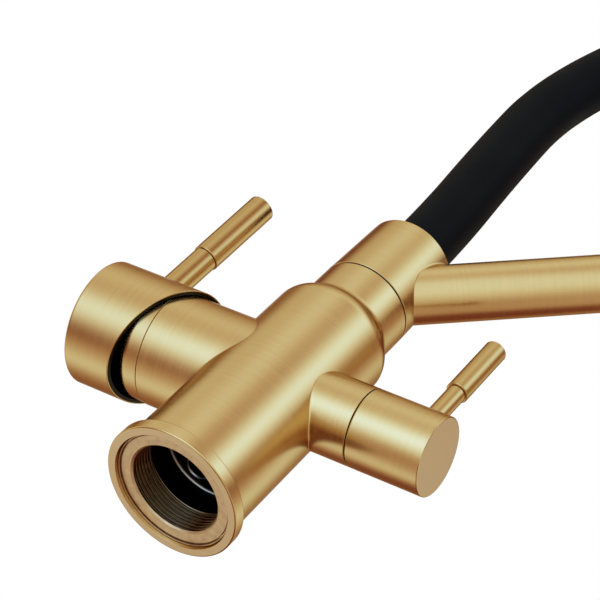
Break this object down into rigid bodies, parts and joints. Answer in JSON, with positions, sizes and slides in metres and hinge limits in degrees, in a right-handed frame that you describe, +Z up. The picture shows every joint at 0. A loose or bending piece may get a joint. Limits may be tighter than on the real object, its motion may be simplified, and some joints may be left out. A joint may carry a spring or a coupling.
{
  "type": "three way filtered water tap",
  "caption": "Brushed gold kitchen tap with a side mixer lever, a filtered water lever, a swivel arm with its own outlet and a black hose arching to a docked spray head.",
  "frame": {"origin": "centre of the base ring's lower face, where the tap stands on the worktop", "axes": "+Z up along the body, +X towards the filtered water handle and, at rest, the spout; the mixer handle points along -X"},
  "size_m": [0.3092, 0.05, 0.3954],
  "materials": {
    "brushed_gold": "brushed",
    "black_silicone": "matte",
    "black_rubber": "matte",
    "black_plastic": "matte",
    "white_plastic": "matte",
    "ceramic": "polished",
    "steel": "brushed",
    "raw_brass": "machined",
    "inner_hose": "smooth"
  },
  "bodies": {
    "tap": {"tap_body": "brushed_gold", "base_ring": "brushed_gold", "base_washer": "raw_brass", "mixer_port_seals": "black_rubber", "cartridge_housing": "white_plastic", "cartridge_fixed_disc": "ceramic", "cartridge_nut": "raw_brass", "cartridge_dome": "brushed_gold", "filter_seat_seal": "black_rubber", "filter_valve_body": "raw_brass", "filter_fixed_disc": "ceramic", "swivel_spigot": "raw_brass", "spigot_seal_rings": "black_rubber", "glide_ring": "black_plastic"},
    "mixer_turn": {"cartridge_moving_disc": "ceramic", "cartridge_rotor": "white_plastic", "pivot_pin": "steel"},
    "mixer_handle": {"mixer_stem": "steel", "mixer_cap": "brushed_gold", "mixer_lever_rod": "brushed_gold", "mixer_lever_grip": "brushed_gold"},
    "filter_handle": {"filter_moving_disc": "ceramic", "filter_spindle": "raw_brass", "filter_cap": "brushed_gold", "filter_lever_rod": "brushed_gold", "filter_lever_grip": "brushed_gold"},
    "spout": {"spout_collar": "brushed_gold", "collar_lock_screw": "steel", "collar_nipple": "raw_brass", "spout_arm": "brushed_gold", "filtered_water_tube": "inner_hose", "filtered_outlet_insert": "raw_brass", "filtered_aerator_ring": "brushed_gold", "filtered_aerator_screen": "steel", "dock_bracket": "brushed_gold", "dock_liner": "black_plastic", "dock_screw": "steel", "flexible_hose": "black_silicone", "inner_water_hose": "inner_hose", "hose_ferrule": "brushed_gold", "head_stalk": "raw_brass"},
    "spray_head": {"head_swivel_nut": "brushed_gold", "head_shell": "brushed_gold", "head_core": "black_plastic", "head_face": "black_plastic", "head_nozzles": "black_rubber", "head_aerator": "steel"},
    "spray_button": {"head_button": "black_plastic"}
  },
  "joints": [
    {"name": "spout_swivel", "type": "hinge", "parent": "tap", "child": "spout", "pos_m": [0, 0, 0.117], "axis": [0, 0, 1], "continuous": true},
    {"name": "mixer_temperature", "type": "hinge", "parent": "tap", "child": "mixer_turn", "pos_m": [-0.043, 0, 0.0605], "axis": [1, 0, 0], "range_deg": [-51.73, 38.27]},
    {"name": "mixer_lift", "type": "hinge", "parent": "mixer_turn", "child": "mixer_handle", "pos_m": [-0.048, 0, 0.0605], "axis": [0, -0.9931, -0.1172], "range_deg": [0, 25]},
    {"name": "filter_turn", "type": "hinge", "parent": "tap", "child": "filter_handle", "pos_m": [0.036, 0, 0.0605], "axis": [1, 0, 0], "range_deg": [0, 90]},
    {"name": "head_swivel", "type": "hinge", "parent": "spout", "child": "spray_head", "pos_m": [0.2205, 0, 0.2135], "axis": [0, 0, 1], "continuous": true},
    {"name": "button_press", "type": "slide", "parent": "spray_head", "child": "spray_button", "axis": [-1, 0, 0], "range_m": [0, 0.0012], "stiffness_N_per_m": 800}
  ]
}
